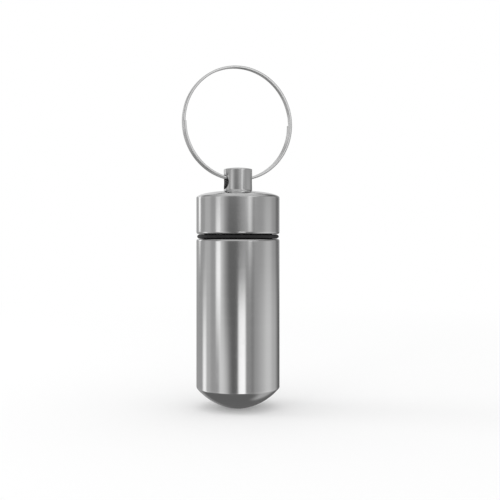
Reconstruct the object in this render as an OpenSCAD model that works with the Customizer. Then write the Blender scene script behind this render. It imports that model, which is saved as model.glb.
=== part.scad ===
// Pill fob keychain. A screw capsule turned in two pieces from aluminium bar, closed on a rubber
// O-ring and carried by a wound split ring, which runs through the cross hole of the cap's post.
// Millimetres. +Z is the capsule's axis and the middle of the flat foot that it stands on is the
// origin.
// +X runs along the cross hole, in the plane of the ring.

/* [Capsule] */
// Outside diameter of the case and of the cap
body_d = 17; // [15:0.5:22]
// Height of the case's straight wall, from its lower edge to its shoulder
case_wall_h = 30.1; // [20:0.1:50]
// Height of the case's domed end, from its foot to the lower edge
dome_h = 4.1; // [2.5:0.1:7]
// Diameter of the small flat foot at the tip of the dome, on which the capsule stands
foot_d = 4.2; // [3.6:0.1:6]
// Edge break on the case's shoulder and on the cap's rim
edge_break = 0.15; // [0.05:0.05:0.3]

/* [Chamber] */
// Thickness of the neck's wall, measured over the thread
neck_wall = 1.2; // [0.9:0.1:1.8]
// Metal left under the tip of the drilled chamber
floor_t = 2.5; // [1.5:0.1:3.5]
// Point angle of the drill that left the chamber's floor
drill_angle = 118; // [90:2:140]
// Chamfer round the chamber's mouth
mouth_chamfer = 0.3; // [0.1:0.05:0.5]

/* [Neck] */
// Height of the neck that enters the cap
neck_h = 5.6; // [4.5:0.1:6.2]
// Pitch of the thread: how far the cap rises in one turn, and the width of the thread's undercut
thread_pitch = 1.25; // [0.75:0.25:1.5]
// Depth of the thread, which the undercut and the neck's end chamfer clear
thread_depth = 0.5; // [0.3:0.05:0.6]
// How far the thread's crest stands below the O-ring's land
land_step = 0.05; // [0.02:0.01:0.15]
// Length of the O-ring's land that enters the cap
land_h = 0.4; // [0.2:0.1:1]

/* [Seal] */
// Thickness of the O-ring's round section
seal_cord = 1.32; // [0.9:0.01:1.6]
// How far the O-ring stays inside the outside diameter
seal_inset = 0.15; // [0.05:0.05:0.4]
// Gap between the O-ring and each metal face it lies against
seal_play = 0.04; // [0.02:0.01:0.1]

/* [Cap] */
// Height of the cap's straight skirt
skirt_h = 7.2; // [6.8:0.1:12]
// Height of the cap's crowned top above the skirt
crown_h = 1.3; // [0.6:0.1:2.5]
// Clearance all round between the thread's crest and the cap's socket
thread_play = 0.15; // [0.1:0.01:0.25]
// Clearance between the neck's end and the roof of the socket
roof_play = 0.3; // [0.1:0.1:0.6]

/* [Post] */
// Diameter of the post on the cap
post_d = 5.8; // [4.8:0.1:8]
// Radius of the fillet at the foot of the post
post_fillet = 0.4; // [0.2:0.05:0.6]
// Height of the post's slightly crowned end
post_crown_h = 0.35; // [0.1:0.05:0.8]
// Diameter of the cross hole
hole_d = 2.9; // [2.6:0.1:3.4]
// Metal between the cap's crown and the cross hole
hole_foot = 0.45; // [0.4:0.05:1.2]
// Metal between the cross hole and the post's shoulder
hole_web = 1.05; // [0.6:0.05:2]

/* [Split ring] */
// Outside diameter of the ring
ring_d = 23.5; // [20:0.5:32]
// Thickness of the ring's wire, across the ring's band
wire_t = 0.5; // [0.4:0.05:0.7]
// Width of the ring's wire, along the ring's axis
wire_w = 0.55; // [0.4:0.05:0.6]
// Gap between one turn and the next
turn_gap = 0.025; // [0.015:0.005:0.04]
// Whole turns of the ring, which half a turn more completes
whole_turns = 2; // [1:1:2]
// Edge break along the four edges of the wire
wire_break = 0.1; // [0.05:0.01:0.15]
// Clearance between the wire and the wall of the cross hole
ring_play = 0.04; // [0.02:0.01:0.1]

/* [Hidden] */

$fn = 96;

// Angle between the points of a round outline
arc_step = 6;
// How far a cut passes the face that it opens, and how far a domed end reaches into its rod
cut = 1;

// Heights from the bottom up
shoulder_z = dome_h + case_wall_h;
rim_z = shoulder_z + seal_cord + 2 * seal_play;
skirt_top_z = rim_z + skirt_h;
crown_z = skirt_top_z + crown_h;
land_top_z = rim_z + land_h;
neck_top_z = rim_z + neck_h;
hole_z = crown_z + hole_foot + hole_d / 2;
post_shoulder_z = hole_z + hole_d / 2 + hole_web;
post_top_z = post_shoulder_z + post_crown_h;

// Radii from the outside in
body_r = body_d / 2;
foot_r = foot_d / 2;
seal_r = body_r - seal_inset - seal_cord / 2;
land_r = seal_r - seal_cord / 2 - seal_play;
thread_r = land_r - land_step;
root_r = thread_r - thread_depth;
chamber_r = thread_r - neck_wall;
socket_r = thread_r + thread_play;
socket_mouth_r = land_r + thread_play;
post_r = post_d / 2;

// The dome is part of a sphere that passes through the case's lower edge and the foot's edge
dome_centre_z = (body_r * body_r + dome_h * dome_h - foot_r * foot_r) / (2 * dome_h);
dome_r = norm([foot_r, dome_centre_z]);

// Chamber's floor, a cone that the drill left
drill_point_h = chamber_r / tan(drill_angle / 2);
chamber_floor_z = floor_t + drill_point_h;
socket_roof_z = neck_top_z + roof_play;

// The wound ring. The wire's middle line has this radius in the turns that lie flat
turn_pitch = wire_w + turn_gap;
wound_w = whole_turns * turn_pitch + wire_w;
ring_out_r = ring_d / 2;
ring_in_r = ring_out_r - wire_t;
wire_r = ring_out_r - wire_t / 2;
// A turn climbs one pitch over its upper half, so that half leans by this angle
lean = asin(turn_pitch / 2 / wire_r);
flat_wire_r = wire_r * cos(lean);
// The ring stands in the cross hole, and the broken edges of its outer turns meet the hole's upper
// wall at both mouths
hold_r = hole_d / 2 - ring_play;
wound_top_half_w = wound_w / 2 - wire_break;
mouth_lift = sqrt(hold_r * hold_r - wound_top_half_w * wound_top_half_w);
ring_z = hole_z + mouth_lift + sqrt(ring_in_r * ring_in_r - post_r * post_r);

// Point on the crown's quarter ellipse, from 0 degrees at the skirt to 90 at the axis
function crown_point(angle) = [body_r * cos(angle), skirt_top_z + crown_h * sin(angle)];
// Angle at which the crown reaches the outer end of the post's fillet
fillet_angle = acos((post_r + post_fillet) / body_r);
fillet_z = crown_point(fillet_angle)[1] + post_fillet;
// Radius of the sphere that crowns the post's end
post_crown_r = (post_r * post_r + post_crown_h * post_crown_h) / (2 * post_crown_h);

// Outline of the cap's outside, turned about Z
cap_outline = concat(
    [[0, rim_z], [body_r - edge_break, rim_z], [body_r, rim_z + edge_break]],
    [for (a = [0 : arc_step : fillet_angle]) crown_point(a)],
    [for (a = [90 : -arc_step * 2.5 : 0])
        [post_r + post_fillet * (1 - cos(a)), fillet_z - post_fillet * sin(a)]],
    [[post_r, post_shoulder_z], [0, post_shoulder_z]]
);

// Outline of the case's wall and neck, from the dome's edge up, turned about Z. The neck has the
// O-ring's land, the undercut where the thread runs out, and the thread at its outside diameter
case_outline = [
    [0, dome_h],
    [body_r, dome_h],
    [body_r, shoulder_z - edge_break],
    [body_r - edge_break, shoulder_z],
    [land_r, shoulder_z],
    [land_r, land_top_z],
    [root_r, land_top_z],
    [root_r, land_top_z + thread_pitch],
    [thread_r, land_top_z + thread_pitch + thread_depth],
    [thread_r, neck_top_z - thread_depth],
    [root_r, neck_top_z],
    [0, neck_top_z]
];

// Drilled and bored chamber of the case, open at the neck's end
chamber_outline = [
    [0, floor_t],
    [chamber_r, chamber_floor_z],
    [chamber_r, neck_top_z - mouth_chamfer],
    [chamber_r + mouth_chamfer, neck_top_z],
    [chamber_r + mouth_chamfer, neck_top_z + cut],
    [0, neck_top_z + cut]
];

// Socket of the cap, with a wider mouth that passes over the O-ring's land
socket_outline = [
    [0, rim_z - cut],
    [socket_mouth_r, rim_z - cut],
    [socket_mouth_r, land_top_z],
    [socket_r, land_top_z + socket_mouth_r - socket_r],
    [socket_r, socket_roof_z],
    [0, socket_roof_z]
];

// Section of the ring's wire, with its edges broken, centred at a radius from the ring's axis
module wire_section(radius) {
    half_t = wire_t / 2;
    half_w = wire_w / 2;
    translate([radius, 0])
        polygon([
            [half_t, wire_break - half_w], [half_t, half_w - wire_break],
            [half_t - wire_break, half_w], [wire_break - half_t, half_w],
            [-half_t, half_w - wire_break], [-half_t, wire_break - half_w],
            [wire_break - half_t, -half_w], [half_t - wire_break, -half_w]
        ]);
}

// Half a turn of wire in the ring's plane, its middle at y. The upper half leans to climb a pitch
module half_turn(y, upper) {
    translate([0, y, ring_z])
        rotate([90, upper ? 0 : 180, upper ? -lean : 0])
            rotate_extrude(angle = 180)
                wire_section(upper ? wire_r : flat_wire_r);
}

// Case: domed end with its foot, straight wall, shoulder, and the neck that the cap screws on
module case_body() {
    color("lightgray")
        difference() {
            union() {
                intersection() {
                    translate([0, 0, dome_centre_z])
                        sphere(r = dome_r);
                    cylinder(r = body_r, h = dome_h + cut);
                }
                rotate_extrude()
                    polygon(case_outline);
            }
            rotate_extrude()
                polygon(chamber_outline);
        }
}

// O-ring on its land, between the case's shoulder and the cap's rim
module o_ring() {
    color("black")
        translate([0, 0, shoulder_z + seal_play + seal_cord / 2])
            rotate_extrude()
                translate([seal_r, 0])
                    circle(d = seal_cord);
}

// Cap with its post, turned from one bar, bored for the neck and drilled across for the ring
module cap() {
    color("silver")
        difference() {
            union() {
                rotate_extrude()
                    polygon(cap_outline);
                intersection() {
                    translate([0, 0, post_top_z - post_crown_r])
                        sphere(r = post_crown_r);
                    translate([0, 0, post_shoulder_z - cut])
                        cylinder(r = post_r, h = cut + post_crown_h);
                }
            }
            rotate_extrude()
                polygon(socket_outline);
            translate([-post_r - cut, 0, hole_z])
                rotate([0, 90, 0])
                    cylinder(d = hole_d, h = post_d + 2 * cut);
        }
}

// Split ring: whole turns and a half of one wire, with its free ends at -X in front and +X behind
module split_ring() {
    front_y = -whole_turns * turn_pitch / 2;
    color("gainsboro")
        union() {
            for (i = [0 : whole_turns])
                half_turn(front_y + i * turn_pitch, false);
            for (i = [1 : whole_turns])
                half_turn(front_y + (i - 0.5) * turn_pitch, true);
        }
}

case_body();
o_ring();
cap();
split_ring();
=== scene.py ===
"""Pill fob keychain: turned metal, a rubber seal and a wound wire ring, in a white studio."""

from math import asin, atan, cos, degrees, pi, radians, sin, sqrt, tan

import bmesh
import bpy
from mathutils import Matrix, Vector


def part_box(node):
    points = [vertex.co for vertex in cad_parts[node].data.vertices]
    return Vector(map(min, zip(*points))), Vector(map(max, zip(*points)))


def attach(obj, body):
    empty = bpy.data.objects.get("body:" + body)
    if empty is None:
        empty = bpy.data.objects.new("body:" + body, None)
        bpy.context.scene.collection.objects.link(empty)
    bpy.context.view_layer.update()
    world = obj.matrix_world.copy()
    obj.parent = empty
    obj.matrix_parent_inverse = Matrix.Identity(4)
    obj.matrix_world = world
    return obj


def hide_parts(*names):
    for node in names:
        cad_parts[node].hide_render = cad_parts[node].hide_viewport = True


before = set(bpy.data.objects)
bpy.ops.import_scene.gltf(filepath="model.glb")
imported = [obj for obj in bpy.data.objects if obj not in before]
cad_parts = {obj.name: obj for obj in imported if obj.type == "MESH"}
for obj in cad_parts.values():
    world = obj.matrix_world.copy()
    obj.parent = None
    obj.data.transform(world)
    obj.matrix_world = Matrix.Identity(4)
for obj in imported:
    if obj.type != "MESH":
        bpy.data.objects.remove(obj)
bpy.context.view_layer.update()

MM = 0.001
AXIS_Z = Vector((0, 0, 1))
AXIS_FRONT = Vector((0, -1, 0))

# Places that the frame gives
case_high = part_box("case_body")[1]
cap_low, cap_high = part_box("cap")
seal_low, seal_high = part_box("o_ring")
ring_low, ring_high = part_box("split_ring")
body_r = case_high.x
neck_top_z = case_high.z
land_low_z = cap_low.z

# Case, in metres from here on
FOOT_R = 1.8 * MM
FOOT_EDGE_R = 0.15 * MM
DOME_H = 4.1 * MM
DOME_R = 12 * MM
WALL_H = 30.1 * MM
LOWER_EDGE_R = 0.3 * MM
LOWER_EDGE_REACH = 0.1 * MM
BROKEN_EDGE_R = 0.36 * MM
FLOOR_T = 2.5 * MM
FLOOR_CORNER_R = 0.2 * MM
DRILL_HALF_ANGLE = radians(59)
CHAMBER_R = 5.74 * MM
MOUTH_CHAMFER = 0.3 * MM
MOUTH_EDGE_R = 0.04 * MM
MOUTH_CORNER_R = 0.06 * MM

# Seal. The tightened cap squeezes its section flatter than the solids, by this much at each side,
# and its parting line stands out by the flash
SEAL_SQUEEZE = 0.2 * MM
SEAL_SIDES = 48
PARTING_FLASH = 0.02 * MM

# Neck, thread and socket
LAND_R = 6.99 * MM
LAND_H = 0.4 * MM
LAND_EDGE_R = 0.05 * MM
UNDERCUT_CORNER_R = 0.08 * MM
NECK_EDGE_R = 0.06 * MM
THREAD_PITCH = 1.25 * MM
THREAD_DEPTH = 0.5 * MM
THREAD_CREST_R = 6.94 * MM
THREAD_ROOT_R = THREAD_CREST_R - THREAD_DEPTH
THREAD_FLANK = radians(30)
THREAD_CREST_W = THREAD_PITCH / 8
THREAD_SINK = 0.03 * MM
THREAD_START = 0.1 * MM
THREAD_STEPS = 72
NECK_THREAD_TURNS = 2.75
SOCKET_THREAD_TURNS = 3.6
SOCKET_R = 7.09 * MM
SOCKET_CORNER_R = 0.15 * MM
SOCKET_MOUTH_R = 7.14 * MM
SOCKET_MOUTH_EDGE_R = 0.08 * MM
ROOF_PLAY = 0.3 * MM

# Cap and post, whose end stands a little higher than the solid's
SKIRT_H = 7.2 * MM
CROWN_H = 1.45 * MM
POST_R = 2.9 * MM
POST_RISE = 0.15 * MM
POST_FILLET = 0.28 * MM
POST_CROWN_H = 0.35 * MM
POST_EDGE_R = 0.14 * MM
HOLE_R = 1.45 * MM
HOLE_FOOT = 0.3 * MM
HOLE_EDGE_R = 0.05 * MM

# Ring
WIRE_BREAK = 0.1 * MM
WIRE_T = 0.5 * MM
WIRE_W = 0.55 * MM
WHOLE_TURNS = 2
HALF_TURN_STEPS = 72

# Heights and sizes that follow
shoulder_z = DOME_H + WALL_H + SEAL_SQUEEZE
rim_z = land_low_z - SEAL_SQUEEZE
land_top_z = land_low_z + LAND_H
undercut_top_z = land_top_z + THREAD_PITCH
socket_roof_z = neck_top_z + ROOF_PLAY
skirt_top_z = land_low_z + SKIRT_H
hole_z = skirt_top_z + CROWN_H + HOLE_FOOT + HOLE_R
post_top_z = cap_high.z + POST_RISE
ring_out_r = (ring_high.z - ring_low.z) / 2
ring_z = (ring_high.z + ring_low.z) / 2
turn_pitch = (ring_high.y - ring_low.y - WIRE_W) / WHOLE_TURNS

# Meshes: steps of a full turn, narrow bands beside an edge, and what counts as one point, as a
# sharp edge and as an edge of the cross hole's mouth
SPIN_STEPS = 160
SUPPORT = 0.09 * MM
MERGE_DISTANCE = 0.0005 * MM
SHARP_ANGLE = radians(32)
MOUTH_SLACK = 0.01 * MM
MOUTH_ANGLE = radians(20)


# Outlines, spins and pieces


def spin(mesh, geometry, turn, steps, centre=(0, 0, 0), axis=AXIS_Z, climb=0, closed=False):
    """Sweeps a part of a mesh round an axis, climbing along Z at each step, and gives its end."""
    swept = bmesh.ops.spin(
        mesh, geom=geometry, cent=centre, axis=axis, dvec=(0, 0, climb), angle=turn, steps=steps,
        use_merge=closed, use_normal_flip=False, use_duplicate=False,
    )
    return swept["geom_last"]


class Outline:
    """A line of points in the plane y = 0, which a spin about Z turns into a piece."""

    def __init__(self, x, z):
        self.mesh = bmesh.new()
        self.tip = self.mesh.verts.new((x, 0, z))
        self.eased = []

    def line(self, x, z, ease=0):
        """A straight line on to a point, whose corner is rounded by ease at the end."""
        grown = bmesh.ops.extrude_vert_indiv(self.mesh, verts=[self.tip])
        self.tip = grown["verts"][0]
        self.tip.co = (x, 0, z)
        if ease:
            self.eased.append((self.tip, ease))

    def arc(self, x, z, turn, steps, flatten=1, ease=0):
        """An arc about a centre, positive from +X to +Z, flattened along Z about that centre."""
        before = set(self.mesh.verts)
        end = spin(self.mesh, [self.tip], turn, steps, (x, 0, z), AXIS_FRONT)
        new = [v for v in self.mesh.verts if v not in before]
        bmesh.ops.scale(
            self.mesh, vec=(1, 1, flatten), verts=new, space=Matrix.Translation((-x, 0, -z))
        )
        self.tip = next(v for v in end if isinstance(v, bmesh.types.BMVert))
        if ease:
            self.eased.append((self.tip, ease))

    def wall(self, x, low, high, low_ease, high_ease):
        """Narrow bands at the ends of a straight wall, which keep the shading between straight."""
        for z in (
            low + low_ease + SUPPORT, low + low_ease + 3 * SUPPORT,
            high - high_ease - 3 * SUPPORT, high - high_ease - SUPPORT,
        ):
            self.line(x, z)

    def spun(self):
        """The mesh that a full turn about Z makes, with its corners rounded."""
        for corner, ease in self.eased:
            arms = [(e.other_vert(corner).co - corner.co) for e in corner.link_edges]
            half = arms[0].angle(arms[1]) / 2
            bmesh.ops.bevel(
                self.mesh, geom=[corner], offset=ease / tan(half), offset_type="OFFSET",
                segments=4, profile=0.5, affect="VERTICES", material=-1,
            )
        spin(self.mesh, self.mesh.verts[:] + self.mesh.edges[:], 2 * pi, SPIN_STEPS, closed=True)
        return self.mesh


def linked(name, data):
    """A new object of the scene."""
    made = bpy.data.objects.new(name, data)
    bpy.context.scene.collection.objects.link(made)
    return made


def mesh_object(name, mesh):
    """A new object of the scene, made of a mesh that is done with."""
    data = bpy.data.meshes.new(name)
    mesh.to_mesh(data)
    mesh.free()
    return linked(name, data)


def solid_object(name, mesh):
    """A new object whose faces all look outward."""
    bmesh.ops.recalc_face_normals(mesh, faces=mesh.faces)
    return mesh_object(name, mesh)


def piece(name, mesh, body, finish, replaced=(), faced=True):
    """A finished piece at the origin, shaded by the area of its faces, on its body."""
    bmesh.ops.remove_doubles(mesh, verts=mesh.verts, dist=MERGE_DISTANCE)
    if faced:
        bmesh.ops.recalc_face_normals(mesh, faces=mesh.faces)
    for face in mesh.faces:
        face.smooth = True
    for edge in mesh.edges:
        if len(edge.link_faces) == 2 and edge.calc_face_angle(0) > SHARP_ANGLE:
            edge.smooth = False
    made = mesh_object(name, mesh)
    made.data.materials.append(finish)
    weighted = made.modifiers.new("weighted_normals", "WEIGHTED_NORMAL")
    weighted.mode = "FACE_AREA"
    weighted.keep_sharp = True
    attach(made, body)
    if replaced:
        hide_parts(*replaced)


# Shader sums in plain Python


class Signal:
    """A shader socket's output, with Python's own operators as its Math nodes."""

    def __init__(self, nodes, socket):
        self.nodes = nodes
        self.socket = socket

    def maths(self, operation, *values, clamp=False):
        """The output of a Math node."""
        settings = {"operation": operation, "use_clamp": clamp}
        return self.nodes.add("ShaderNodeMath", settings, dict(enumerate(values)))

    def __add__(self, other):
        return self.maths("ADD", self, other)

    __radd__ = __add__

    def __mul__(self, other):
        return self.maths("MULTIPLY", self, other)

    __rmul__ = __mul__

    def __sub__(self, other):
        return self.maths("SUBTRACT", self, other)

    def __rsub__(self, other):
        return self.maths("SUBTRACT", other, self)

    def __pow__(self, other):
        return self.maths("POWER", self, other)

    def __abs__(self):
        return self.maths("ABSOLUTE", self)

    def root(self):
        """The square root."""
        return self.maths("SQRT", self)

    def clamped(self):
        """The value kept between 0 and 1."""
        return self.maths("ADD", self, 0, clamp=True)

    def rising(self, low, high):
        """0 below low and 1 above high, with a smooth step between them."""
        settings = {"interpolation_type": "SMOOTHSTEP", "clamp": True}
        values = {"Value": self, "From Min": low, "From Max": high}
        return self.nodes.add("ShaderNodeMapRange", settings, values)


class NodeTree:
    """The nodes of a material or of the world."""

    def __init__(self, owner):
        owner.use_nodes = True
        self.tree = owner.node_tree
        self.tree.nodes.clear()

    def add(self, kind, settings=None, values=None, output=0):
        """Adds a node: its settings first, then the values or links of its sockets."""
        node = self.tree.nodes.new(kind)
        for key, value in (settings or {}).items():
            setattr(node, key, value)
        for key, value in (values or {}).items():
            socket = node.inputs[key]
            if isinstance(value, Signal):
                self.tree.links.new(value.socket, socket)
            elif socket.type == "RGBA":
                socket.default_value = (*value, 1)
            else:
                socket.default_value = value
        return Signal(self, node.outputs[output] if node.outputs else None)

    def spot(self):
        """Object coordinates."""
        return self.add("ShaderNodeTexCoord", output="Object")

    def parts(self, vector):
        """The three parts of a vector."""
        node = self.add("ShaderNodeSeparateXYZ", values={0: vector}).socket.node
        return [Signal(self, socket) for socket in node.outputs]

    def joined(self, x, y, z):
        """A vector of three parts."""
        return self.add("ShaderNodeCombineXYZ", values={0: x, 1: y, 2: z})

    def noise(self, vector, scale, detail, roughness):
        """Solid noise about 0.5."""
        values = {"Vector": vector, "Scale": scale, "Detail": detail, "Roughness": roughness}
        return self.add("ShaderNodeTexNoise", {"noise_dimensions": "3D"}, values)

    def blend(self, factor, one, other):
        """A colour between two, by a factor."""
        settings = {"data_type": "RGBA", "blend_type": "MIX"}
        return self.add("ShaderNodeMix", settings, {0: factor, 6: one, 7: other}, output=2)

    def glow(self, strength):
        """White light from a surface."""
        return self.add("ShaderNodeEmission", values={"Color": WHITE, "Strength": strength})

    def finish(self, shader, kind="Material"):
        """The tree's output."""
        self.add(f"ShaderNodeOutput{kind}", values={"Surface": shader})

    def finish_solid(self, tone, metallic, roughness, height):
        """The output of a solid's surface, with its relief in metres."""
        relief = {"Strength": 1.0, "Distance": 1.0, "Height": height}
        bump = self.add("ShaderNodeBump", values=relief)
        self.finish(self.add("ShaderNodeBsdfPrincipled", values={
            "Base Color": tone, "Metallic": metallic, "Roughness": roughness, "Normal": bump,
        }))


# Finishes

WHITE = (1, 1, 1)

# Turned aluminium. Noise has its scale in waves a metre, its detail and its roughness
LATHE_MARKS = (1 / (0.035 * MM), 3, 0.65)
BANDS = (900, 2, 0.5)
BANDS_DRIFT = 0.04
HAZE = (140, 3, 0.5)
SMEARS = (420, 4, 0.7)
SMEARS_FROM_TO = (0.55, 0.75)
ALUMINIUM_DARK = (0.764, 0.764, 0.764)
ALUMINIUM_LIGHT = (0.836, 0.836, 0.836)
MARKS_DEPTH = 0.0006 * MM
WORN_TONE = (0.93, 0.93, 0.93)
WORN_SHARE = 0.5
WORN_LEAST = 0.55
WORN_BY_HAZE = 0.9
CUT_TONE = (0.56, 0.565, 0.57)
CUT_SHARE = 0.5
CUT_DEPTHS_MORE = 5
CUT_FADE = 0.05 * MM
HOLE_FADE = 0.03 * MM

# Roughness of the aluminium, and what its marks add to it
ALUMINIUM_ROUGH = 0.13
BANDS_ROUGH = 0.035
HAZE_ROUGH = 0.03
SMEARS_ROUGH = 0.045
CUT_ROUGH = 0.17
WORN_ROUGH = 0.05

# How far wear reaches from an edge
FOOT_WEAR = 0.2 * MM
LOWER_EDGE_WEAR = 0.5 * MM
BROKEN_EDGE_WEAR = 0.25 * MM
SKIRT_TOP_WEAR = 0.35 * MM
POST_WEAR = 0.3 * MM

# Where the metal was left as cut: within a radius and between two heights. The case's lower one
# rises with the radius, which keeps it off the dome
CASE_CUT_R = THREAD_CREST_R + 0.1 * MM
CASE_CUT_Z = (FLOOR_T * 0.8, neck_top_z + 1 * MM)
CASE_CUT_SLOPE = 0.25
CAP_CUT_R = SOCKET_MOUTH_R + 0.02 * MM
CAP_CUT_Z = (rim_z - 0.1 * MM, socket_roof_z + 0.05 * MM)
HOLE_CUT_R = HOLE_R + 0.01 * MM

# Spring steel
WIRE_LINES = (26000, 2, 0.6)
CLOUDS = (260, 3, 0.5)
SPECKS = (1500, 2, 0.5)
SPECKS_FROM_TO = (0.62, 0.72)
STEEL_DARK = (0.7708, 0.7708, 0.7708)
STEEL_LIGHT = (0.861, 0.861, 0.861)
SPECKS_TONE = (0.5, 0.5, 0.5)
SPECKS_SHARE = 0.35
STEEL_ROUGH = 0.16
CLOUDS_ROUGH = 0.08
SPECKS_ROUGH = 0.06
LINES_DEPTH = 0.0012 * MM

# Rubber
GRAIN = (5200, 3, 0.6)
DUST = (900, 4, 0.7)
DUST_FROM_TO = (0.56, 0.78)
RUBBER_TONE = (0.011, 0.011, 0.012)
DUST_TONE = (0.035, 0.034, 0.033)
RUBBER_ROUGH = 0.4
GRAIN_ROUGH = 0.12
DUST_ROUGH = 0.15
GRAIN_DEPTH = 0.004 * MM


def turned_aluminium(name, edges, cut_r, cut_z, slope=0, hole_cut_r=0):
    """Bar turned in a lathe and polished: fine rings round the axis, slow bands, haze and smears.

    It is brighter by its worn edges, each with its radius, height and reach, and duller where it
    was left as cut.
    """
    material = bpy.data.materials.new(name)
    nodes = NodeTree(material)
    spot = nodes.spot()
    x, y, z = nodes.parts(spot)
    radius = (x * x + y * y).root()
    marks = nodes.noise(nodes.joined(radius, 0, z), *LATHE_MARKS)
    drifting = nodes.joined(radius, x * BANDS_DRIFT, z + y * BANDS_DRIFT)
    bands = nodes.noise(drifting, *BANDS)
    haze = nodes.noise(spot, *HAZE)
    smears = nodes.noise(spot, *SMEARS).rising(*SMEARS_FROM_TO)
    low, high = cut_z
    cut = 1 - radius.rising(cut_r, cut_r + CUT_FADE)
    cut = cut * (z - radius * slope).rising(low, low + CUT_FADE)
    cut = cut * (1 - z.rising(high, high + CUT_FADE))
    if hole_cut_r:
        across = (y * y + (z - hole_z) ** 2).root()
        cut = (cut + (1 - across.rising(hole_cut_r, hole_cut_r + HOLE_FADE))).clamped()
    worn = 0
    for edge_r, edge_z, reach in edges:
        away = ((radius - edge_r) ** 2 + (z - edge_z) ** 2).root()
        worn = worn + (1 - away.rising(0, reach))
    worn = (worn * (WORN_LEAST + WORN_BY_HAZE * haze)).clamped()
    tone = nodes.blend(marks * 0.5 + bands * 0.5, ALUMINIUM_DARK, ALUMINIUM_LIGHT)
    tone = nodes.blend(cut * CUT_SHARE, tone, CUT_TONE)
    tone = nodes.blend(worn * WORN_SHARE, tone, WORN_TONE)
    roughness = ALUMINIUM_ROUGH + BANDS_ROUGH * (bands - 0.5) + HAZE_ROUGH * (haze - 0.5)
    roughness = roughness + SMEARS_ROUGH * smears + CUT_ROUGH * cut + WORN_ROUGH * worn
    height = marks * (MARKS_DEPTH * (1 + CUT_DEPTHS_MORE * cut))
    nodes.finish_solid(tone, 1.0, roughness, height)
    return material


def spring_steel(name):
    """Nickel-plated wire: bright, with drawing lines along it, faint clouds and specks."""
    material = bpy.data.materials.new(name)
    nodes = NodeTree(material)
    spot = nodes.spot()
    x, y, z = nodes.parts(spot)
    radius = (x * x + (z - ring_z) ** 2).root()
    lines = nodes.noise(nodes.joined(radius, y, 0), *WIRE_LINES)
    clouds = nodes.noise(spot, *CLOUDS)
    specks = nodes.noise(spot, *SPECKS).rising(*SPECKS_FROM_TO)
    tone = nodes.blend(clouds, STEEL_DARK, STEEL_LIGHT)
    tone = nodes.blend(specks * SPECKS_SHARE, tone, SPECKS_TONE)
    roughness = STEEL_ROUGH + CLOUDS_ROUGH * (clouds - 0.5) + SPECKS_ROUGH * specks
    nodes.finish_solid(tone, 1.0, roughness, lines * LINES_DEPTH)
    return material


def moulded_rubber(name):
    """Black nitrile rubber with a soft sheen, a fine grain and a little dust."""
    material = bpy.data.materials.new(name)
    nodes = NodeTree(material)
    spot = nodes.spot()
    grain = nodes.noise(spot, *GRAIN)
    dust = nodes.noise(spot, *DUST).rising(*DUST_FROM_TO)
    tone = nodes.blend(dust, RUBBER_TONE, DUST_TONE)
    roughness = RUBBER_ROUGH + GRAIN_ROUGH * grain + DUST_ROUGH * dust
    nodes.finish_solid(tone, 0.0, roughness, grain * GRAIN_DEPTH)
    return material


# Case, with its foot, dome, wall, shoulder, neck and drilled chamber


def turned_case(finish):
    """The case, turned from its foot up and then down inside."""
    chord = Vector((body_r - FOOT_R, 0, DOME_H))
    inward = Vector((-chord.z, 0, chord.x)).normalized()
    rise = sqrt(DOME_R**2 - chord.length_squared / 4)
    centre = Vector((FOOT_R, 0, 0)) + chord / 2 + inward * rise
    dome_turn = 2 * asin(chord.length / 2 / DOME_R)
    drill_h = CHAMBER_R / tan(DRILL_HALF_ANGLE)
    outline = Outline(0, 0)
    outline.line(FOOT_R * 0.5, 0)
    outline.line(FOOT_R, 0, ease=FOOT_EDGE_R)
    outline.arc(centre.x, centre.z, dome_turn, steps=40, ease=LOWER_EDGE_R)
    outline.wall(body_r, DOME_H, shoulder_z, LOWER_EDGE_REACH, BROKEN_EDGE_R)
    outline.line(body_r, shoulder_z, ease=BROKEN_EDGE_R)
    outline.line(LAND_R, shoulder_z, ease=LAND_EDGE_R)
    outline.line(LAND_R, land_top_z, ease=LAND_EDGE_R)
    outline.line(THREAD_ROOT_R, land_top_z, ease=UNDERCUT_CORNER_R)
    outline.line(THREAD_ROOT_R, undercut_top_z)
    outline.line(THREAD_ROOT_R, neck_top_z, ease=NECK_EDGE_R)
    outline.line(CHAMBER_R + MOUTH_CHAMFER, neck_top_z, ease=MOUTH_EDGE_R)
    outline.line(CHAMBER_R, neck_top_z - MOUTH_CHAMFER, ease=MOUTH_CORNER_R)
    outline.line(CHAMBER_R, FLOOR_T + drill_h, ease=FLOOR_CORNER_R)
    outline.line(0, FLOOR_T)
    piece("case_turned", outline.spun(), "case", finish, ["case_body"])


def thread_ridge(name, base_r, crest_r, first_z, turns, body, finish):
    """One start of a right-hand thread that runs in and out over a third of a turn."""
    outward = 1 if crest_r > base_r else -1
    half_base = THREAD_CREST_W / 2 + abs(crest_r - base_r) * tan(THREAD_FLANK)
    sunk_r = base_r - outward * THREAD_SINK
    section = [
        (sunk_r, -half_base), (crest_r, -THREAD_CREST_W / 2),
        (crest_r, THREAD_CREST_W / 2), (sunk_r, half_base),
    ]
    mesh = bmesh.new()
    corners = [mesh.verts.new((r, 0, first_z + dz)) for r, dz in section]
    loop = [mesh.edges.new((corners[i - 1], corners[i])) for i in range(len(corners))]
    steps = round(turns * THREAD_STEPS)
    spin(mesh, corners + loop, 2 * pi * turns, steps, climb=THREAD_PITCH / THREAD_STEPS)
    mesh.verts.ensure_lookup_table()
    run_in = THREAD_STEPS / 3
    for i in range(steps + 1):
        share = min(1, i / run_in, (steps - i) / run_in)
        for crest in (1, 2):
            vert = mesh.verts[i * len(section) + crest]
            flat = Vector((vert.co.x, vert.co.y, 0)).normalized()
            vert.co = flat * (base_r + (crest_r - base_r) * share) + AXIS_Z * vert.co.z
    bmesh.ops.holes_fill(mesh, edges=mesh.edges, sides=len(section))
    piece(name, mesh, body, finish)


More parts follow.
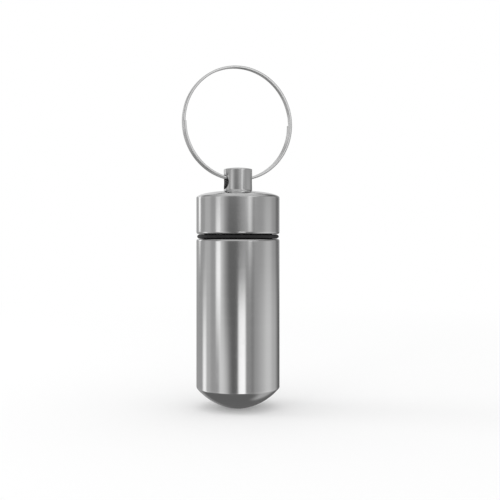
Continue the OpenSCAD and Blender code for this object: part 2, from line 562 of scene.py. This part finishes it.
# O-ring, squeezed a little, with the mould's parting line round it


def moulded_seal(finish):
    """The seal, from a circle that is flattened and given its parting line."""
    cord_r = (seal_high.z - seal_low.z) / 2
    middle_z = (seal_high.z + seal_low.z) / 2
    middle_r = seal_high.x - cord_r
    squeeze = 1 - SEAL_SQUEEZE / cord_r
    half_step = cord_r * sin(pi / SEAL_SIDES) * 0.5
    mesh = bmesh.new()
    made = bmesh.ops.create_circle(mesh, cap_ends=False, segments=SEAL_SIDES, radius=cord_r)
    for vert in made["verts"]:
        x, z = vert.co.x, vert.co.y
        flash = PARTING_FLASH if abs(z) < half_step else 0
        reach = x + (flash if x > 0 else -flash)
        vert.co = (middle_r + reach, 0, middle_z + z * squeeze)
    spin(mesh, mesh.verts[:] + mesh.edges[:], 2 * pi, SPIN_STEPS, closed=True)
    piece("seal_moulded", mesh, "seal", finish, ["o_ring"])


# Cap, with its crown, post, cross hole and socket


def cap_without_hole():
    """The turned cap, from its socket's roof down, round its rim and up to the post's end."""
    fillet_r = POST_R + POST_FILLET
    fillet_angle = atan(sqrt(body_r**2 - fillet_r**2) / fillet_r)
    fillet_z = skirt_top_z + CROWN_H * sin(fillet_angle) + POST_FILLET
    post_shoulder_z = post_top_z - POST_CROWN_H
    post_crown_r = (POST_R**2 + POST_CROWN_H**2) / (2 * POST_CROWN_H)
    outline = Outline(0, socket_roof_z)
    outline.line(SOCKET_R, socket_roof_z, ease=SOCKET_CORNER_R)
    outline.line(SOCKET_R, land_top_z + SOCKET_MOUTH_R - SOCKET_R)
    outline.line(SOCKET_MOUTH_R, land_top_z)
    outline.line(SOCKET_MOUTH_R, rim_z, ease=SOCKET_MOUTH_EDGE_R)
    outline.line(body_r, rim_z, ease=BROKEN_EDGE_R)
    outline.wall(body_r, rim_z, skirt_top_z, BROKEN_EDGE_R, 0)
    outline.line(body_r, skirt_top_z)
    outline.arc(0, skirt_top_z, fillet_angle, steps=32, flatten=CROWN_H / body_r)
    outline.arc(fillet_r, fillet_z, -pi / 2, steps=8)
    outline.wall(POST_R, fillet_z, post_shoulder_z, 0, POST_EDGE_R)
    outline.line(POST_R, post_shoulder_z, ease=POST_EDGE_R)
    outline.arc(0, post_top_z - post_crown_r, asin(POST_R / post_crown_r), steps=10)
    return outline.spun()


def turned_cap(finish):
    """The cap, drilled across its post, with the hole's edges broken."""
    turned = cap_without_hole()
    bmesh.ops.remove_doubles(turned, verts=turned.verts, dist=MERGE_DISTANCE)
    blank = solid_object("cap_blank", turned)
    rod = bmesh.new()
    bmesh.ops.create_cone(
        rod, cap_ends=True, segments=64, radius1=HOLE_R, radius2=HOLE_R, depth=3 * POST_R,
        matrix=Matrix.Translation((0, 0, hole_z)) @ Matrix.Rotation(pi / 2, 4, "Y"),
    )
    drill = solid_object("cross_drill", rod)
    cut = blank.modifiers.new("drilled", "BOOLEAN")
    cut.operation = "DIFFERENCE"
    cut.solver = "EXACT"
    cut.object = drill
    bpy.context.view_layer.update()
    drilled = blank.evaluated_get(bpy.context.evaluated_depsgraph_get()).to_mesh()
    mesh = bmesh.new()
    mesh.from_mesh(drilled)
    bpy.data.objects.remove(blank)
    bpy.data.objects.remove(drill)
    bmesh.ops.bevel(
        mesh, geom=[e for e in mesh.edges if on_hole_mouth(e)], offset=HOLE_EDGE_R,
        offset_type="OFFSET", segments=3, profile=0.5, affect="EDGES", clamp_overlap=True,
        material=-1,
    )
    piece("cap_turned", mesh, "cap", finish, ["cap"], faced=False)


def on_hole_mouth(edge):
    """Whether an edge lies where the cross hole meets the post's side."""
    for vert in edge.verts:
        x, y, z = vert.co
        if abs(sqrt(y * y + (z - hole_z) ** 2) - HOLE_R) > MOUTH_SLACK:
            return False
        if abs(sqrt(x * x + y * y) - POST_R) > MOUTH_SLACK:
            return False
    return edge.calc_face_angle(0) > MOUTH_ANGLE


# Split ring: one wire that lies flat in its lower halves and climbs a pitch in each upper one


def wound_wire(finish):
    """The ring, wound from a section with broken edges, half a turn at a time."""
    wire_r = ring_out_r - WIRE_T / 2
    first_y = ring_low.y + WIRE_W / 2
    mesh = bmesh.new()
    corners = [
        mesh.verts.new((-wire_r + t * WIRE_T / 2, first_y + w * WIRE_W / 2, ring_z))
        for t, w in ((-1, -1), (1, -1), (1, 1), (-1, 1))
    ]
    mesh.faces.new(corners)
    bmesh.ops.bevel(
        mesh, geom=corners, offset=WIRE_BREAK, offset_type="OFFSET", segments=3, profile=0.5,
        affect="VERTICES", material=-1,
    )
    section = mesh.faces[:][0]
    end = section.verts[:] + section.edges[:]
    for half in range(2 * WHOLE_TURNS + 1):
        before = set(mesh.verts)
        end = spin(mesh, end, pi, HALF_TURN_STEPS, (0, 0, ring_z), AXIS_FRONT)
        if half % 2 == 1:
            for vert in set(mesh.verts) - before:
                reach = sqrt(vert.co.x**2 + (vert.co.z - ring_z) ** 2)
                vert.co.y += turn_pitch * (1 - vert.co.x / reach) / 2
    mesh.faces.new([g for g in end if isinstance(g, bmesh.types.BMVert)])
    piece("ring_wound", mesh, "ring", finish, ["split_ring"])


# Camera, level, with the photograph's place and lens. It looks past the axis by VIEW_ASIDE, and
# its shift puts the horizon at its row

VIEW_YAW = radians(21.15)
VIEW_RANGE = 176 * MM
VIEW_HEIGHT = 35.2 * MM
VIEW_ASIDE = 2.46 * MM
FOCAL_PX = 859.3
HORIZON_PX = 235
FRAME_PX = 500
SENSOR = 36

ahead = Vector((sin(VIEW_YAW), cos(VIEW_YAW), 0))
right = Vector((cos(VIEW_YAW), -sin(VIEW_YAW), 0))


def camera():
    """The scene's camera."""
    data = bpy.data.cameras.new("view")
    data.sensor_width = SENSOR
    data.lens = FOCAL_PX * SENSOR / FRAME_PX
    data.shift_y = (HORIZON_PX - FRAME_PX / 2) / FRAME_PX
    data.clip_start = 5 * MM
    data.clip_end = 50
    view = linked("view", data)
    view.location = right * VIEW_ASIDE - ahead * VIEW_RANGE + AXIS_Z * VIEW_HEIGHT
    view.rotation_euler = (pi / 2, 0, -VIEW_YAW)
    bpy.context.scene.camera = view


# Studio: a white floor that fades into the backdrop, soft boxes and flags on a dome, and lamps

AMBIENT = 0.975
FLOOR_R = 8
FLOOR_GREY = (0.93, 0.93, 0.93)
FLOOR_FADE = (0.07, 0.28)
FLOOR_LEAST = 0.14
DOME_OF_CARDS_R = 4
DOME_OF_CARDS_Z = 25 * MM
ROOM_LEVEL = 0.133

# What stands round the set. Bearings are from the camera's side and positive to the right, in
# degrees: left side, its soft edge, right side, its soft edge, lowest and highest elevation,
# their soft edge, level
CARDS = {
    "left wall": (-172, 6, -30, 9, -32, 24, 7, 0.22),
    "left rear": (-152, 5, -138, 5, -3.5, 24, 3, 0.08),
    "left rim box": (-136, 4.5, -125, 4.5, -0.5, 24, 2.5, 0.87),
    "left low box": (-112, 4.5, -97, 5.5, -30, -5, 4.5, 0.7),
    "left wash": (-102, 5, -80, 6, -30, 24, 4, 0.12),
    "left key box": (-61.5, 3.5, -49, 3.5, -7, 3.2, 2.5, 0.49),
    "left key top": (-61.5, 3.5, -49, 3.5, 3.2, 24, 2.5, 0.04),
    "left key foot": (-62, 3.5, -45, 5, -4.5, 0, 2.5, 0.32),
    "left key fill": (-52, 3, -38, 5, -10, 24, 4, 0.17),
    "low left wash": (-52, 4, -22, 9, -30, -7, 3, 0.29),
    "front ramp": (7, 17, 40, 8, -30, 24, 4, 0.16),
    "front ramp top": (9, 14, 38, 7, -0.5, 24, 1.5, 0.05),
    "front low box": (1.5, 3.5, 21.5, 3, -24, -3.9, 0.7, 0.93),
    "front upper wash": (-33, 5, 23, 6, 3, 24, 0.8, 0.13),
    "front high box": (-40, 8, 26, 6, 10, 26, 3, 0.14),
    "left back box": (-170, 4, -146, 6, 11, 42, 5, 0.47),
    "right upper box": (34, 4, 49, 5, 4.6, 24, 1, 0.24),
    "right ring box": (41, 2, 54, 4, 5.1, 9.4, 0.9, 0.33),
    "right high box": (40, 3, 60, 6, 9.4, 24, 0.9, 0.36),
    "right cap box": (21, 4, 31, 4, 1.5, 3.6, 0.8, 0.25),
    "right box": (29, 4.5, 40, 5, -1, 24, 1.8, 0.43),
    "right wall": (44, 6, 130, 12, -32, 24, 7, 0.21),
    "right wash": (78, 12, 106, 10, -30, 3.1, 1, 0.16),
    "right low wash": (60, 12, 140, 10, -30, -3, 3, 0.14),
    "right rear": (146, 6, 166, 5, -3, 24, 3, 0.17),
    "low right": (60, 15, 151, 7, -61, -30, 7, 0.29),
    "front middle box": (-62, 6, 40, 8, 27, 40, 5, 0.38),
    "top box": (-400, 1, 400, 1, 46, 91, 10, 0.47),
}
# The backdrop, on both sides of the way ahead: the bearings where it begins and is full, then
# its elevations, their soft edge and its level
BACKDROP = (164, 174, -6, 50, 4, 0.51)

# Lamps: bearing and elevation in degrees, distance and width in metres, power in watts
LAMPS = {
    "top_lamp": (-60, 72, 0.7, 0.35, 0.15),
    "left_lamp": (-98, 36, 0.5, 0.2, 0.25),
    "front_left_lamp": (-31, 16, 0.6, 0.1, 0.13),
    "front_right_lamp": (16, 14, 0.6, 0.12, 0.1),
}
LAMP_AIM = Vector((0, 0, 22 * MM))


def white_world():
    """White to the camera and the gloss, a little dimmer as light."""
    world = bpy.data.worlds.new("white")
    bpy.context.scene.world = world
    nodes = NodeTree(world)
    rays = nodes.add("ShaderNodeLightPath").socket.node.outputs
    seen = Signal(nodes, rays["Is Camera Ray"]) + Signal(nodes, rays["Is Glossy Ray"])
    seen = (seen + Signal(nodes, rays["Is Transmission Ray"])).clamped()
    values = {"Color": WHITE, "Strength": AMBIENT + (1 - AMBIENT) * seen}
    nodes.finish(nodes.add("ShaderNodeBackground", values=values), "World")


def soft_floor():
    """A floor that catches the shadow and glows more and more with distance."""
    mesh = bmesh.new()
    bmesh.ops.create_circle(mesh, cap_ends=True, segments=96, radius=FLOOR_R)
    floor = mesh_object("floor", mesh)
    floor.visible_glossy = False
    material = bpy.data.materials.new("white_floor")
    nodes = NodeTree(material)
    x, y = nodes.parts(nodes.spot())[:2]
    away = (x * x + y * y).root()
    matt = nodes.add("ShaderNodeBsdfDiffuse", values={"Color": FLOOR_GREY})
    faded = FLOOR_LEAST + (1 - FLOOR_LEAST) * away.rising(*FLOOR_FADE)
    mixed = {0: faded, 1: matt, 2: nodes.glow(1.0)}
    nodes.finish(nodes.add("ShaderNodeMixShader", values=mixed))
    floor.data.materials.append(material)


def between(value, low, low_fade, high, high_fade):
    """1 between two places with soft edges, and 0 outside."""
    return value.rising(low - low_fade, low + low_fade) * (
        1 - value.rising(high - high_fade, high + high_fade)
    )


def card_dome():
    """The soft boxes and flags, as light on the inside of a dome that only the gloss shows."""
    mesh = bmesh.new()
    middle = Matrix.Translation((0, 0, DOME_OF_CARDS_Z))
    bmesh.ops.create_uvsphere(
        mesh, u_segments=48, v_segments=24, radius=DOME_OF_CARDS_R, matrix=middle
    )
    dome = mesh_object("cards", mesh)
    dome.visible_camera = False
    dome.visible_diffuse = False
    dome.visible_shadow = False
    dome.visible_transmission = False
    material = bpy.data.materials.new("card_light")
    material.cycles.emission_sampling = "NONE"
    nodes = NodeTree(material)
    turned = nodes.add("ShaderNodeMapping", values={
        "Vector": nodes.spot(), "Rotation": (0, 0, pi / 2 + VIEW_YAW),
        "Location": (0, 0, -DOME_OF_CARDS_Z),
    })
    toward, aside, up = nodes.parts(nodes.add(
        "ShaderNodeVectorMath", {"operation": "NORMALIZE"}, {0: turned}
    ))
    bearing = aside.maths("ARCTAN2", aside, toward) * degrees(1)
    elevation = up.maths("ARCSINE", up) * degrees(1)
    light = ROOM_LEVEL
    for start, start_fade, end, end_fade, low, high, fade, level in CARDS.values():
        card = between(bearing, start, start_fade, end, end_fade)
        card = card * between(elevation, low, fade, high, fade)
        light = card * level + light
    near, far, low, high, fade, level = BACKDROP
    backdrop = abs(bearing).rising(near, far) * between(elevation, low, fade, high, fade)
    nodes.finish(nodes.glow(backdrop * level + light))
    dome.data.materials.append(material)


def lamp(name, bearing, elevation, distance, size, power):
    """A square soft lamp that looks at the case, its bearing taken from the camera's side."""
    turn = radians(bearing)
    tilt = radians(elevation)
    direction = (right * sin(turn) - ahead * cos(turn)) * cos(tilt) + AXIS_Z * sin(tilt)
    data = bpy.data.lights.new(name, "AREA")
    data.shape = "SQUARE"
    data.size = size
    data.energy = power
    light = linked(name, data)
    light.location = LAMP_AIM + direction * distance
    light.rotation_euler = direction.to_track_quat("Z", "Y").to_euler()
    light.visible_glossy = False


# The whole set

case_finish = turned_aluminium(
    "case_aluminium_turned",
    [
        (body_r, DOME_H, LOWER_EDGE_WEAR), (body_r, shoulder_z, BROKEN_EDGE_WEAR),
        (FOOT_R, 0, FOOT_WEAR),
    ],
    CASE_CUT_R, CASE_CUT_Z, slope=CASE_CUT_SLOPE,
)
cap_finish = turned_aluminium(
    "cap_aluminium_turned",
    [
        (body_r, rim_z, BROKEN_EDGE_WEAR), (body_r, skirt_top_z, SKIRT_TOP_WEAR),
        (POST_R, post_top_z, POST_WEAR),
    ],
    CAP_CUT_R, CAP_CUT_Z, hole_cut_r=HOLE_CUT_R,
)
thread_z = undercut_top_z + THREAD_START
turned_case(case_finish)
thread_ridge(
    "neck_thread", THREAD_ROOT_R, THREAD_CREST_R, thread_z, NECK_THREAD_TURNS,
    "case", case_finish,
)
moulded_seal(moulded_rubber("seal_rubber_moulded"))
turned_cap(cap_finish)
thread_ridge(
    "socket_thread", SOCKET_R, SOCKET_R - THREAD_DEPTH, thread_z - THREAD_PITCH / 2,
    SOCKET_THREAD_TURNS, "cap", cap_finish,
)
wound_wire(spring_steel("ring_steel_drawn"))

camera()
white_world()
soft_floor()
card_dome()
for name, settings in LAMPS.items():
    lamp(name, *settings)
bpy.context.scene.view_settings.view_transform = "Standard"
